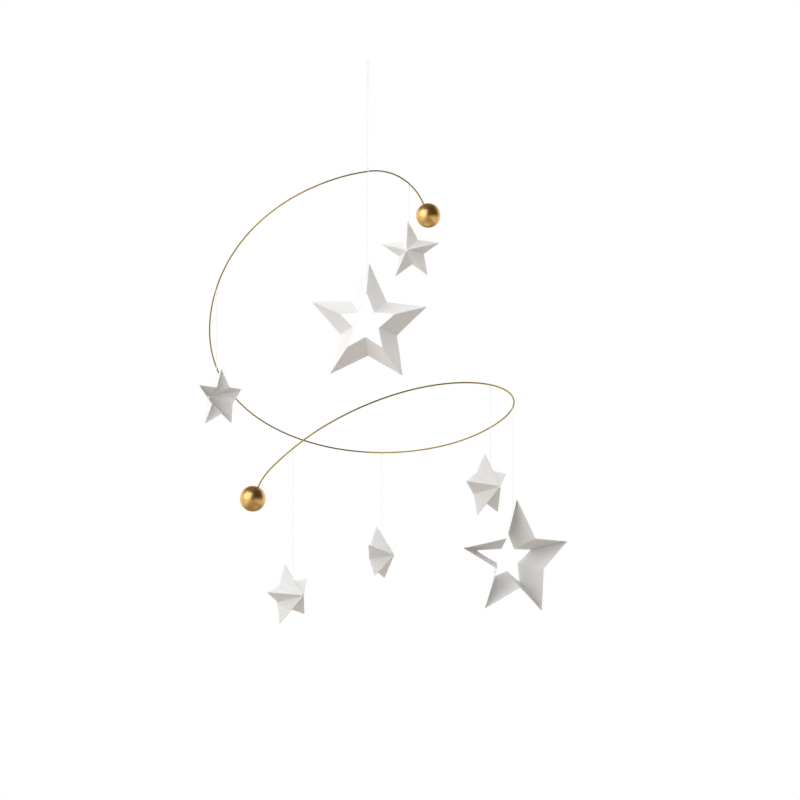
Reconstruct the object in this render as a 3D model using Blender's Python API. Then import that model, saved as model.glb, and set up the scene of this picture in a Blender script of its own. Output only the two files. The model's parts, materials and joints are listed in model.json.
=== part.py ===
"""Star mobile: seven folded card stars on threads, hung from one long curl of brass wire.

Everything is in metres with +Z up. The origin is the top of the hanger loop, where a hook holds
the mobile, and the viewer stands on the -Y side. The wire is a widening, slanting coil with a bent
tail at each end, and a ball closes each tail. Each star is a flat card blank folded along five
ridges and five valleys. It hangs with its centre of mass straight below its thread hole.
"""

import math

import bmesh
import bpy
from mathutils import Matrix, Vector

UP = Vector((0.0, 0.0, 1.0))
DOWN = -UP
TURN = 2.0 * math.pi
SMALL_ANGLE = 1e-4

# Clearance between pieces that touch on the real mobile
SEAT_GAP = 0.0003

# Brass wire
WIRE_DIAMETER = 0.0014
CURL_RADIUS = 0.1606
CURL_WIDENING = 0.0286
CURL_PITCH = 0.2756
CURL_STRETCH = 0.0903
CURL_OVAL = 0.0171
CURL_OVAL_ANGLE = math.radians(78.9)
CURL_WAVE = 0.00166
CURL_WAVE_ANGLE = math.radians(51.3)
CURL_MIDDLE_ANGLE = math.radians(257.8)
AXIS_LEAN_BACK = math.radians(30.9)
AXIS_LEAN_SIDE = math.radians(6.4)
CURL_START = math.radians(79.0)
CURL_END = math.radians(483.8)
HANGER_ANGLE = math.radians(79.2)
UPPER_TAIL_LENGTH = 0.0709
UPPER_TAIL_BEND = math.radians(75.0)
LOWER_TAIL_LENGTH = 0.0223
LOWER_TAIL_BEND = math.radians(20.3)
CURL_STEPS = 116
UPPER_TAIL_STEPS = 20
LOWER_TAIL_STEPS = 6
WIRE_BEVEL_RESOLUTION = 4

# Balls on the wire's ends
BALL_DIAMETER = 0.025
WIRE_DEPTH_IN_BALL = 0.008
BALL_SEGMENTS = 28
BALL_RINGS = 14

# Card stars: distances from the star's centre, measured along the card
CARD_THICKNESS = 0.00036
LARGE_RIDGE = 0.0743
LARGE_VALLEY = 0.0615
LARGE_WINDOW_RIDGE = 0.0362
LARGE_WINDOW_VALLEY = 0.0278
SMALL_RIDGE = 0.0359
SMALL_VALLEY = 0.0273
SMALL_WINDOW_RIDGE = 0.0024
SMALL_WINDOW_VALLEY = 0.0016
ARMS = 5
HALF_ARM = math.pi / ARMS

# Threads
THREAD_DIAMETER = 0.0004
LOOP_KNOT_DIAMETER = 0.0010
STOP_KNOT_DIAMETER = 0.0016
THREAD_HOLE_DIAMETER = 0.0012
THREAD_HOLE_CUT = 0.0100
LOOP_SPACING = 0.0012
LOOP_SEGMENTS = 24
THREAD_SIDES = 8
KNOT_RINGS = 6
KNOT_SHARPNESS = 12

# Hanger
HANGER_LOOP_HEIGHT = 0.0250
HANGER_LOOP_WIDTH = 0.0030
HANGER_THREAD_DIAMETER = 0.0005
HANGER_KNOT_DIAMETER = 0.0016
HANGER_LENGTH = 0.1079
HANGER_LOOP_SEGMENTS = 32
HANGER_LOOP_TAPER = 0.75

# Each star: blank, fold of its ridges, length of wire from the hanger (positive towards the lower
# ball), length of thread from the wire to the thread hole, the way it faces (0 towards the viewer,
# anticlockwise from above), its thread hole (below the top tip, and to the side of the ridge), and
# the arms bent by hand. Arms count from the top one, and each bent arm has the angle that it turns
# about the line between its notches and the angle that it turns in the star's own plane
STARS = {
    "large_star_upper": {
        "blank": "large", "fold": math.radians(33.3), "wire_length": LOOP_SPACING, "thread_length": 0.1053,
        "facing": math.radians(-5.1), "hole_below_tip": 0.0165, "hole_aside": -0.0019,
        "bent_arms": {4: (6, 5)}},
    "large_star_lower": {
        "blank": "large", "fold": math.radians(35.2), "wire_length": 0.8290, "thread_length": 0.1035,
        "facing": math.radians(204.0), "hole_below_tip": 0.0124, "hole_aside": 0.0018,
        "bent_arms": {1: (-9, 11), 2: (11, 9), 3: (2, -7)}},
    "small_star_top": {
        "blank": "small", "fold": math.radians(33.4), "wire_length": -0.0476, "thread_length": 0.0478,
        "facing": math.radians(-11.4), "hole_below_tip": 0.0122, "hole_aside": 0.0031,
        "bent_arms": {1: (-8, 12), 2: (-3, 9)}},
    "small_star_left": {
        "blank": "small", "fold": math.radians(30.9), "wire_length": 0.2236, "thread_length": 0.0913,
        "facing": math.radians(225.1), "hole_below_tip": 0.0129, "hole_aside": -0.0006,
        "bent_arms": {1: (11, -17)}},
    "small_star_right": {
        "blank": "small", "fold": math.radians(27.3), "wire_length": 0.9472, "thread_length": 0.0794,
        "facing": math.radians(47.0), "hole_below_tip": 0.0127, "hole_aside": 0.0043,
        "bent_arms": {1: (-10, 11), 2: (-11, 15)}},
    "small_star_front": {
        "blank": "small", "fold": math.radians(33.2), "wire_length": 1.1830, "thread_length": 0.1247,
        "facing": math.radians(46.7), "hole_below_tip": 0.0156, "hole_aside": 0.0058,
        "bent_arms": {1: (-6, -1), 2: (-7, -5)}},
    "small_star_back": {
        "blank": "small", "fold": math.radians(32.4), "wire_length": 0.5648, "thread_length": 0.0911,
        "facing": math.radians(73.2), "hole_below_tip": 0.0141, "hole_aside": -0.0029,
        "bent_arms": {2: (8, -4), 3: (10, 6)}},
}
BLANKS = {
    "large": (LARGE_RIDGE, LARGE_VALLEY, LARGE_WINDOW_RIDGE, LARGE_WINDOW_VALLEY),
    "small": (SMALL_RIDGE, SMALL_VALLEY, SMALL_WINDOW_RIDGE, SMALL_WINDOW_VALLEY),
}


def clear_scene():
    """Remove every object, so that the file holds the mobile alone."""
    for old in list(bpy.data.objects):
        bpy.data.objects.remove(old, do_unlink=True)


def make_material(name, colour, roughness, metallic=0.0):
    """Principled material of one piece."""
    material = bpy.data.materials.new(name)
    material.use_nodes = True
    shader = material.node_tree.nodes["Principled BSDF"]
    shader.inputs["Base Color"].default_value = (*colour, 1.0)
    shader.inputs["Roughness"].default_value = roughness
    shader.inputs["Metallic"].default_value = metallic
    return material


def brass(name):
    return make_material(name, (0.42, 0.29, 0.13), 0.35, 1.0)


def gold(name):
    return make_material(name, (0.62, 0.40, 0.14), 0.38, 1.0)


def white_card(name):
    return make_material(name, (0.84, 0.83, 0.80), 0.75)


def white_thread(name):
    return make_material(name, (0.86, 0.85, 0.82), 0.85)


def add_mesh(name, mesh_builder, material, placement, smooth=False):
    """Turn a finished bmesh into a named object at its placement."""
    mesh = bpy.data.meshes.new(name)
    bmesh.ops.recalc_face_normals(mesh_builder, faces=mesh_builder.faces)
    mesh_builder.to_mesh(mesh)
    mesh_builder.free()
    if smooth:
        mesh.shade_smooth()
        mesh.set_sharp_from_angle(angle=math.radians(40))
    mesh.materials.append(material)
    piece = bpy.data.objects.new(name, mesh)
    bpy.context.scene.collection.objects.link(piece)
    piece.matrix_world = placement
    return piece


def turned(profile, segments):
    """Closed solid turned round Z from (radius, height) points. Both ends lie on the axis."""
    solid = bmesh.new()
    rings = []
    for radius, height in profile[1:-1]:
        rings.append([solid.verts.new((radius * math.cos(TURN * k / segments),
                                       radius * math.sin(TURN * k / segments), height))
                      for k in range(segments)])
    first = solid.verts.new((0.0, 0.0, profile[0][1]))
    last = solid.verts.new((0.0, 0.0, profile[-1][1]))
    for k in range(segments):
        after = (k + 1) % segments
        solid.faces.new((first, rings[0][k], rings[0][after]))
        for low, high in zip(rings, rings[1:]):
            solid.faces.new((low[k], high[k], high[after], low[after]))
        solid.faces.new((last, rings[-1][after], rings[-1][k]))
    return solid


def turn_to(direction):
    """Rotation that carries +Z to a direction."""
    return UP.rotation_difference(direction).to_matrix().to_4x4()


# The wire's line

def curl_axis():
    """Unit vector along the curl's axis, downwards and towards the viewer."""
    return Vector((math.sin(AXIS_LEAN_SIDE),
                   -math.sin(AXIS_LEAN_BACK) * math.cos(AXIS_LEAN_SIDE),
                   -math.cos(AXIS_LEAN_BACK) * math.cos(AXIS_LEAN_SIDE)))


def square_to(vector, axis):
    """The part of a vector that is square to an axis, as a unit vector."""
    return (vector - axis * vector.dot(axis)).normalized()


def raw_curl(angle):
    """Point of the curl at an angle round its axis, counted from the curl's own centre."""
    axis = curl_axis()
    across = square_to(Vector((1.0, 0.0, 0.0)), axis)
    over = axis.cross(across)
    turns = (angle - CURL_MIDDLE_ANGLE) / TURN
    radius = (CURL_RADIUS + CURL_WIDENING * turns
              + CURL_OVAL * math.cos(2.0 * (angle - CURL_OVAL_ANGLE))
              + CURL_WAVE * math.cos(3.0 * (angle - CURL_WAVE_ANGLE)))
    advance = CURL_PITCH * angle / TURN + CURL_STRETCH * turns ** 2
    return radius * (math.cos(angle) * across + math.sin(angle) * over) + advance * axis


def hanger_to_wire():
    """Distance from the middle of the lowest hanger knot to the middle of the wire."""
    loop_outside = WIRE_DIAMETER / 2 + SEAT_GAP + THREAD_DIAMETER
    return loop_outside + SEAT_GAP + HANGER_KNOT_DIAMETER / 2


def bent_tail(start, direction, length, bend, steps):
    """Points of a tail that bends evenly from a direction towards straight down."""
    inwards = square_to(DOWN, direction)
    points = []
    point = start.copy()
    for step in range(steps):
        angle = bend * (step + 0.5) / steps
        point = point + (math.cos(angle) * direction + math.sin(angle) * inwards) * (length / steps)
        points.append(point.copy())
    return points, (math.cos(bend) * direction + math.sin(bend) * inwards).normalized()


def curl_direction(angle):
    """Unit tangent of the curl, towards the lower ball."""
    return (raw_curl(angle + SMALL_ANGLE) - raw_curl(angle - SMALL_ANGLE)).normalized()


def wire_line():
    """Points of the wire from the upper ball to the lower ball, with the way each end points."""
    tangent = curl_direction(HANGER_ANGLE)
    above = square_to(UP, tangent)
    hanger_point = Vector((0.0, 0.0, -HANGER_LENGTH)) - above * hanger_to_wire()
    shift = hanger_point - raw_curl(HANGER_ANGLE)
    curl = [raw_curl(CURL_START + (CURL_END - CURL_START) * step / CURL_STEPS) + shift
            for step in range(CURL_STEPS + 1)]
    upper, upper_end = bent_tail(curl[0], -curl_direction(CURL_START), UPPER_TAIL_LENGTH,
                                 UPPER_TAIL_BEND, UPPER_TAIL_STEPS)
    lower, lower_end = bent_tail(curl[-1], curl_direction(CURL_END), LOWER_TAIL_LENGTH,
                                 LOWER_TAIL_BEND, LOWER_TAIL_STEPS)
    return upper[::-1] + curl + lower, upper_end, lower_end, hanger_point


def point_along(points, origin, along):
    """Place on the wire at a distance from the point nearest to an origin, and its tangent."""
    travelled = [0.0]
    for start, end in zip(points, points[1:]):
        travelled.append(travelled[-1] + (end - start).length)
    nearest = None
    for index, (start, end) in enumerate(zip(points, points[1:])):
        share = (origin - start).dot(end - start) / (end - start).length_squared
        share = min(max(share, 0.0), 1.0)
        gap = (start.lerp(end, share) - origin).length
        if nearest is None or gap < nearest[0]:
            nearest = (gap, travelled[index] + share * (end - start).length)
    wanted = nearest[1] + along
    for index, (start, end) in enumerate(zip(points, points[1:])):
        if wanted <= travelled[index + 1]:
            share = (wanted - travelled[index]) / (end - start).length
            return start.lerp(end, share), (end - start).normalized()
    return points[-1], (points[-1] - points[-2]).normalized()


# Wire and balls

def make_wire(points, upper_end, lower_end):
    """The bent wire, with straight ends that reach into the balls."""
    route = ([points[0] + upper_end * WIRE_DEPTH_IN_BALL] + points
             + [points[-1] + lower_end * WIRE_DEPTH_IN_BALL])
    curve = bpy.data.curves.new("wire", "CURVE")
    curve.dimensions = "3D"
    curve.bevel_depth = WIRE_DIAMETER / 2
    curve.bevel_resolution = WIRE_BEVEL_RESOLUTION
    curve.use_fill_caps = True
    curve.render_resolution_u = 0
    spline = curve.splines.new("POLY")
    spline.points.add(len(route) - 1)
    pivot = Vector((0.0, 0.0, -HANGER_LENGTH))
    for place, point in zip(spline.points, route):
        place.co = (*(point - pivot), 1.0)
    curve.materials.append(brass("wire"))
    wire = bpy.data.objects.new("wire", curve)
    bpy.context.scene.collection.objects.link(wire)
    wire.location = pivot
    return wire


def make_ball(name, wire_end, direction):
    """A round ball whose blind bore takes the wire's end. Its bore opens towards -Z."""
    radius = BALL_DIAMETER / 2
    bore_radius = WIRE_DIAMETER / 2 + SEAT_GAP
    mouth_angle = math.asin(bore_radius / radius)
    bore_end = -radius * math.cos(mouth_angle) + WIRE_DEPTH_IN_BALL + SEAT_GAP
    profile = [(0.0, bore_end), (bore_radius, bore_end)]
    for ring in range(BALL_RINGS):
        angle = mouth_angle + (math.pi - mouth_angle) * ring / BALL_RINGS
        profile.append((radius * math.sin(angle), -radius * math.cos(angle)))
    profile.append((0.0, radius))
    centre = wire_end + direction * (radius * math.cos(mouth_angle))
    placement = Matrix.Translation(centre) @ turn_to(direction)
    return add_mesh(name, turned(profile, BALL_SEGMENTS), gold(name), placement, smooth=True)


# Threads and knots

def ring_of_points(solid, middle, first, second, radius):
    """Points of a thread's outline round a middle, in the plane of two unit vectors."""
    angles = [TURN * k / THREAD_SIDES for k in range(THREAD_SIDES)]
    return [solid.verts.new(middle + radius * (math.cos(a) * first + math.sin(a) * second))
            for a in angles]


def join_rings(solid, rings):
    """Skin a closed row of outlines."""
    for ring, after in zip(rings, rings[1:] + rings[:1]):
        for k in range(THREAD_SIDES):
            n = (k + 1) % THREAD_SIDES
            solid.faces.new((ring[k], ring[n], after[n], after[k]))


def make_wire_loop(name, centre, tangent, knot_way, knot_diameter):
    """Thread tied round the wire: a ring that swells into a knot on one side."""
    side = tangent.cross(knot_way)
    inner_radius = WIRE_DIAMETER / 2 + SEAT_GAP
    solid = bmesh.new()
    rings = []
    for step in range(LOOP_SEGMENTS):
        angle = TURN * step / LOOP_SEGMENTS
        swell = math.cos(angle / 2) ** KNOT_SHARPNESS
        tube = THREAD_DIAMETER / 2 + (knot_diameter - THREAD_DIAMETER) / 2 * swell
        outwards = math.cos(angle) * knot_way + math.sin(angle) * side
        middle = outwards * (inner_radius + tube)
        rings.append(ring_of_points(solid, middle, outwards, tangent, tube))
    join_rings(solid, rings)
    return add_mesh(name, solid, white_thread(name), Matrix.Translation(centre), smooth=True)


def make_strand(name, top, length, diameter, knot_diameter=0.0):
    """Straight thread that hangs from a point. A stop knot, if it has one, is round its end."""
    radius = diameter / 2
    knot = knot_diameter / 2
    profile = [(0.0, 0.0), (radius, 0.0)]
    if knot > radius:
        neck = math.asin(radius / knot)
        for ring in range(KNOT_RINGS):
            angle = neck + (math.pi - neck) * ring / KNOT_RINGS
            profile.append((knot * math.sin(angle), knot * math.cos(angle) - length))
        profile.append((0.0, -knot - length))
    else:
        profile += [(radius, -length), (0.0, -length)]
    return add_mesh(name, turned(profile, THREAD_SIDES), white_thread(name),
                    Matrix.Translation(top), smooth=True)


def make_bead_knot(name, centre, diameter):
    """Round knot in the hanger thread."""
    profile = [(diameter / 2 * math.sin(math.pi * ring / KNOT_RINGS),
                diameter / 2 * math.cos(math.pi * ring / KNOT_RINGS))
               for ring in range(KNOT_RINGS + 1)]
    return add_mesh(name, turned(profile, THREAD_SIDES), white_thread(name),
                    Matrix.Translation(centre), smooth=True)


def hanger_loop_line(angle):
    """Middle of the thread of the hanger loop, at an angle that goes once round it."""
    radius = HANGER_THREAD_DIAMETER / 2
    height = HANGER_LOOP_HEIGHT - HANGER_KNOT_DIAMETER / 2 - SEAT_GAP
    half_width = (HANGER_LOOP_WIDTH - HANGER_THREAD_DIAMETER) / 2
    narrowing = 1.0 - HANGER_LOOP_TAPER * (1.0 - math.cos(angle)) / 2
    rise = (1.0 + math.cos(angle)) / 2
    return Vector((half_width * math.sin(angle) * narrowing, 0.0, radius - height * (1.0 - rise)))


def make_hanger_loop():
    """Long loop for the hook, whose inside touches the origin. It narrows towards its knot."""
    radius = HANGER_THREAD_DIAMETER / 2
    depth = Vector((0.0, 1.0, 0.0))
    solid = bmesh.new()
    rings = []
    for step in range(HANGER_LOOP_SEGMENTS):
        angle = TURN * step / HANGER_LOOP_SEGMENTS
        middle = hanger_loop_line(angle)
        ahead = hanger_loop_line(angle + SMALL_ANGLE) - middle
        outwards = ahead.normalized().cross(depth)
        rings.append(ring_of_points(solid, middle, outwards, depth, radius))
    join_rings(solid, rings)
    return add_mesh("hanger_loop", solid, white_thread("hanger_loop"), Matrix.Identity(4),
                    smooth=True)


def make_hanger(tangent, hanger_point):
    """Hook loop, knots, thread and wire loop that carry the whole mobile."""
    top_knot = Vector((0.0, 0.0, -HANGER_LOOP_HEIGHT))
    low_knot = Vector((0.0, 0.0, -HANGER_LENGTH))
    knot_edge = HANGER_KNOT_DIAMETER / 2 + SEAT_GAP
    make_hanger_loop()
    make_bead_knot("hanger_knot", top_knot, HANGER_KNOT_DIAMETER)
    make_strand("hanger_thread", top_knot + DOWN * knot_edge,
                HANGER_LENGTH - HANGER_LOOP_HEIGHT - 2 * knot_edge, HANGER_THREAD_DIAMETER)
    make_bead_knot("wire_knot", low_knot, HANGER_KNOT_DIAMETER)
    make_wire_loop("wire_loop", hanger_point, tangent, square_to(UP, tangent), THREAD_DIAMETER)


# Card stars

class FoldedStar:
    """Folded card star in its own frame: X to the right, -Y the way it faces, Z up its top arm."""

    def __init__(self, blank, fold, hole_below_tip, hole_aside, bent_arms):
        ridge, valley, window_ridge, window_valley = BLANKS[blank]
        self.fold = fold
        self.valley_fold = self.matching_valley_fold()
        self.peak = ridge * math.sin(fold)
        self.tips = [self.on_ridge(ridge, k) for k in range(ARMS)]
        self.notches = [self.on_valley(valley, k) for k in range(ARMS)]
        self.window_tips = [self.on_ridge(window_ridge, k) for k in range(ARMS)]
        self.window_notches = [self.on_valley(window_valley, k) for k in range(ARMS)]
        for arm, (swing, sway) in bent_arms.items():
            bent = [self.tips, self.window_tips] if blank == "large" else [self.tips]
            self.bend_arm(bent, arm, math.radians(swing), math.radians(sway))
        self.apex = Vector((0.0, -self.peak, 0.0))
        self.through = Vector((0.0, CARD_THICKNESS / self.facing_share(), 0.0))
        self.hole = self.hole_place(hole_below_tip, hole_aside)
        self.hang = (self.hole - self.centre_of_mass()).rotation_difference(UP).to_matrix()

    def matching_valley_fold(self):
        """Slope of the valleys that folds a flat card with no stretch, for this ridge slope."""
        rise = math.sin(self.fold)
        reach = math.cos(HALF_ARM) * math.cos(self.fold)
        return math.atan2(rise, reach) + math.acos(math.cos(HALF_ARM) / math.hypot(reach, rise))

    def on_fold(self, distance, slope, angle):
        run = distance * math.cos(slope)
        return Vector((run * math.sin(angle), distance * math.sin(slope) - self.peak,
                       run * math.cos(angle)))

    def on_ridge(self, distance, arm):
        return self.on_fold(distance, self.fold, 2 * HALF_ARM * arm)

    def on_valley(self, distance, arm):
        return self.on_fold(distance, self.valley_fold, 2 * HALF_ARM * arm + HALF_ARM)

    def bend_arm(self, ridge_points, arm, swing, sway):
        """Turn an arm about the line between its notches, then in the star's own plane."""
        root_start, root_end = self.notches[arm - 1], self.notches[arm]
        root = (root_start + root_end) / 2
        turn = (Matrix.Rotation(sway, 3, "Y")
                @ Matrix.Rotation(swing, 3, (root_end - root_start).normalized()))
        for points in ridge_points:
            points[arm] = root + turn @ (points[arm] - root)

    def facet_normal(self, arm, before):
        """Outward normal of one of the two facets beside a ridge."""
        ridge = self.tips[arm] - self.apex
        valley = self.notches[arm - 1 if before else arm] - self.apex
        normal = ridge.cross(valley).normalized()
        return normal if normal.y < 0 else -normal

    def facing_share(self):
        """How far a facet turns from the star's own facing direction, the same for all ten."""
        return -self.facet_normal(0, False).y

    def hole_place(self, below_tip, aside):
        """Point of the outer face where the thread goes in."""
        along = (self.apex - self.tips[0]).normalized()
        neighbour = self.notches[0] if aside >= 0 else self.notches[-1]
        across = square_to(neighbour - self.tips[0], along)
        return self.tips[0] + along * below_tip + across * abs(aside)

    def centre_of_mass(self):
        """Centre of mass of the ten facets, with the window taken out."""
        total = Vector((0.0, 0.0, 0.0))
        area = 0.0
        for arm in range(ARMS):
            for notch in (arm, arm - 1):
                for outer, inner, sign in ((self.tips[arm], self.notches[notch], 1.0),
                                           (self.window_tips[arm], self.window_notches[notch], -1.0)):
                    part = sign * (outer - self.apex).cross(inner - self.apex).length / 2
                    total += part * (outer + inner + self.apex) / 3
                    area += part
        return total / area + self.through / 2

    def solid(self):
        """Card of even thickness, with its origin at the thread hole."""
        solid = bmesh.new()
        rims = {}
        for layer, offset in (("front", Vector()), ("back", self.through)):
            for rim, tips, notches in (("edge", self.tips, self.notches),
                                       ("window", self.window_tips, self.window_notches)):
                corners = [corner for pair in zip(tips, notches) for corner in pair]
                rims[layer, rim] = [solid.verts.new(corner + offset - self.hole)
                                    for corner in corners]
        for k in range(2 * ARMS):
            n = (k + 1) % (2 * ARMS)
            tip, notch = (k, n) if k % 2 == 0 else (n, k)
            for layer in ("front", "back"):
                edge, window = rims[layer, "edge"], rims[layer, "window"]
                solid.faces.new((edge[tip], edge[notch], window[tip]))
                solid.faces.new((window[tip], edge[notch], window[notch]))
            for rim in ("edge", "window"):
                front, back = rims["front", rim], rims["back", rim]
                solid.faces.new((front[k], front[n], back[n], back[k]))
        return solid

    def stop_knot_drop(self):
        """How far below the hole the middle of the stop knot hangs, clear of both facets."""
        reach = STOP_KNOT_DIAMETER / 2 + SEAT_GAP
        drops = []
        for before in (False, True):
            normal = self.hang @ self.facet_normal(0, before)
            to_inner_face = self.hang @ (self.apex + self.through - self.hole)
            drops.append((reach - to_inner_face.dot(normal)) / normal.z)
        return max(drops)


def make_star(name, points, hanger_point):
    """A star with its thread hole, its thread with a stop knot, and its loop round the wire."""
    size = STARS[name]
    star = FoldedStar(size["blank"], size["fold"], size["hole_below_tip"], size["hole_aside"],
                      size["bent_arms"])
    on_wire, tangent = point_along(points, hanger_point, size["wire_length"])
    below = square_to(DOWN, tangent)
    knot = on_wire + below * (WIRE_DIAMETER / 2 + SEAT_GAP + LOOP_KNOT_DIAMETER / 2)
    hole = knot + DOWN * (size["thread_length"] - (on_wire.z - knot.z))
    make_wire_loop(name + "_loop", on_wire, tangent, below, LOOP_KNOT_DIAMETER)
    strand_top = knot + DOWN * (LOOP_KNOT_DIAMETER / 2 + SEAT_GAP)
    make_strand(name + "_thread", strand_top, strand_top.z - hole.z + star.stop_knot_drop(),
                THREAD_DIAMETER, STOP_KNOT_DIAMETER)
    placement = (Matrix.Translation(hole) @ Matrix.Rotation(size["facing"], 4, "Z")
                 @ star.hang.to_4x4())
    card = add_mesh(name, star.solid(), white_card(name), placement)
    cut_thread_hole(card, hole)
    return card


def cut_thread_hole(card, hole):
    """Cut an upright round hole through the card."""
    cutter_mesh = bmesh.new()
    bmesh.ops.create_cone(cutter_mesh, cap_ends=True, segments=THREAD_SIDES,
                          radius1=THREAD_HOLE_DIAMETER / 2, radius2=THREAD_HOLE_DIAMETER / 2,
                          depth=THREAD_HOLE_CUT)
    cutter = add_mesh(card.name + "_hole_cutter", cutter_mesh, white_card(card.name + "_cutter"),
                      Matrix.Translation(hole))
    cutter.hide_render = True
    cutter.display_type = "WIRE"
    cut = card.modifiers.new("thread_hole", "BOOLEAN")
    cut.operation = "DIFFERENCE"
    cut.object = cutter


def build():
    clear_scene()
    points, upper_end, lower_end, hanger_point = wire_line()
    make_hanger(curl_direction(HANGER_ANGLE), hanger_point)
    make_wire(points, upper_end, lower_end)
    make_ball("upper_ball", points[0], upper_end)
    make_ball("lower_ball", points[-1], lower_end)
    for name in STARS:
        make_star(name, points, hanger_point)


build()
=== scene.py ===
"""Looks of the star mobile: threads, gilded balls, brass wire and folded card stars.

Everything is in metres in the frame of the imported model: +Z up, -Y towards the viewer, and the
origin at the top of the hanger loop.
"""

import json
import math
import random

import bmesh
import bpy
from mathutils import Matrix, Vector, noise


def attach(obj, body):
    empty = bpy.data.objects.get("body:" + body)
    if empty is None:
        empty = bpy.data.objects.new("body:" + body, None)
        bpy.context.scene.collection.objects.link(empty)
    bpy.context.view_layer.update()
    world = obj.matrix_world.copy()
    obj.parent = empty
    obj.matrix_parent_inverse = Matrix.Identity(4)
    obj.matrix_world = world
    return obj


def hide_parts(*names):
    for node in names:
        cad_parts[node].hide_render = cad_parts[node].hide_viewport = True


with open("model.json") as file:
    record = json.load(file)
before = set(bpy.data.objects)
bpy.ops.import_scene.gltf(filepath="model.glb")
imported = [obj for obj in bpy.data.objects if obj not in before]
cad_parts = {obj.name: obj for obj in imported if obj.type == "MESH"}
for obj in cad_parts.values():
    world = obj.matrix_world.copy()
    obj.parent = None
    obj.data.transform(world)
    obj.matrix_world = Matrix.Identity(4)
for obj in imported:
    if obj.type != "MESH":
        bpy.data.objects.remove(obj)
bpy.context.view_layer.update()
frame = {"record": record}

UP = Vector((0.0, 0.0, 1.0))
DOWN = -UP
RIGHT = Vector((1.0, 0.0, 0.0))
TURN = 2.0 * math.pi
SMALL_ANGLE = 1e-4
JOINTS = {joint["name"]: joint for joint in frame["record"]["behaviour"]["joints"]}

# Camera: level, square to the mobile, as far away as the sizes of its two balls tell
CAMERA_PLACE = Vector((0.03225, -3.9, -0.339))
CAMERA_REACH = 60.0
PHOTO_FOCAL_PIXELS = 3900.0
PHOTO_WIDTH_PIXELS = 800.0
SENSOR_WIDTH_MM = 36.0

# Wire, as in the model
WIRE_DIAMETER = 0.0014
SEAT_GAP = 0.0003
CURL_RADIUS = 0.1606
CURL_WIDENING = 0.0286
CURL_PITCH = 0.2756
CURL_STRETCH = 0.0903
CURL_OVAL = 0.0171
CURL_OVAL_ANGLE = math.radians(78.9)
CURL_WAVE = 0.00166
CURL_WAVE_ANGLE = math.radians(51.3)
CURL_MIDDLE_ANGLE = math.radians(257.8)
AXIS_LEAN_BACK = math.radians(30.9)
AXIS_LEAN_SIDE = math.radians(6.4)
CURL_START = math.radians(79.0)
CURL_END = math.radians(483.8)
HANGER_ANGLE = math.radians(79.2)
UPPER_TAIL_LENGTH = 0.0709
UPPER_TAIL_BEND = math.radians(75.0)
LOWER_TAIL_LENGTH = 0.0223
LOWER_TAIL_BEND = math.radians(20.3)

# Wire, here alone: fine steps, slight waves of bending by hand that fade at its ends, and a
# diameter that varies by a share of itself
CURL_STEPS = 420
UPPER_TAIL_STEPS = 60
LOWER_TAIL_STEPS = 18
WIRE_SIDES = 20
HAND_WAVE = 0.00012
HAND_WAVES_PER_METRE = 22.0
HAND_WAVE_FADE_POINTS = 30
DRAWING_UNEVENNESS = 0.02
DRAWING_WAVES_PER_METRE = 300.0

# Balls, as in the model
BALL_DIAMETER = 0.025
WIRE_DEPTH_IN_BALL = 0.008

# Balls, here alone: the softened mouth of the bore and the faintly uneven ground
MOUTH_ROUNDING = 0.00035
MOUTH_STEPS = 4
BALL_SEGMENTS = 96
BALL_RINGS = 64
GROUND_UNEVENNESS = 0.00004
GROUND_WAVES_PER_METRE = 260.0
GROUND_SHIFT = 40.0

# Card stars, as in the model. Each blank: distance of its ridge tips, notches, window tips and
# window notches from its middle, along the card
CARD_THICKNESS = 0.00036
BLANKS = {
    "large": (0.0743, 0.0615, 0.0362, 0.0278),
    "small": (0.0359, 0.0273, 0.0024, 0.0016),
}

# Each star, with angles in degrees: blank, fold of its ridges, the way it faces, its thread hole
# (below the top tip, and to the side of the ridge), and the arms bent by hand. Arms count from the
# top one, and each bent arm has the angle that it turns about the line between its notches and the
# angle that it turns in the star's own plane
STARS = {
    "large_star_upper": ("large", 33.3, -5.1, 0.0165, -0.0019, {4: (6, 5)}),
    "large_star_lower": ("large", 35.2, 204.0, 0.0124, 0.0018, {1: (-9, 11), 2: (11, 9), 3: (2, -7)}),
    "small_star_top": ("small", 33.4, -11.4, 0.0122, 0.0031, {1: (-8, 12), 2: (-3, 9)}),
    "small_star_left": ("small", 30.9, 225.1, 0.0129, -0.0006, {1: (11, -17)}),
    "small_star_right": ("small", 27.3, 47.0, 0.0127, 0.0043, {1: (-10, 11), 2: (-11, 15)}),
    "small_star_front": ("small", 33.2, 46.7, 0.0156, 0.0058, {1: (-6, -1), 2: (-7, -5)}),
    "small_star_back": ("small", 32.4, 73.2, 0.0141, -0.0029, {2: (8, -4), 3: (10, 6)}),
}
ARMS = 5
HALF_ARM = math.pi / ARMS

# Card stars, here alone: rounded folds, at most a part of the facet wide, and a faint bow of each
# facet that is less where the facet is narrow
FOLD_SOFTNESS = {"large": 0.0007, "small": 0.0005}
FOLD_SHARES = (0.0, 0.25, 0.5, 0.75, 1.0)
FOLDS_IN_WIDTH = 6
FACET_ROWS = {"large": 26, "small": 20}
FACET_COLUMNS = {"large": 12, "small": 8}
LEAST_BOW = -0.0004
MOST_BOW = 0.0006
BOW_SHARE = {"large": 1.0, "small": 0.5}
BOW_HALF_WAVES = 0.8
FULL_BOW_WIDTH = 0.02

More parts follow.
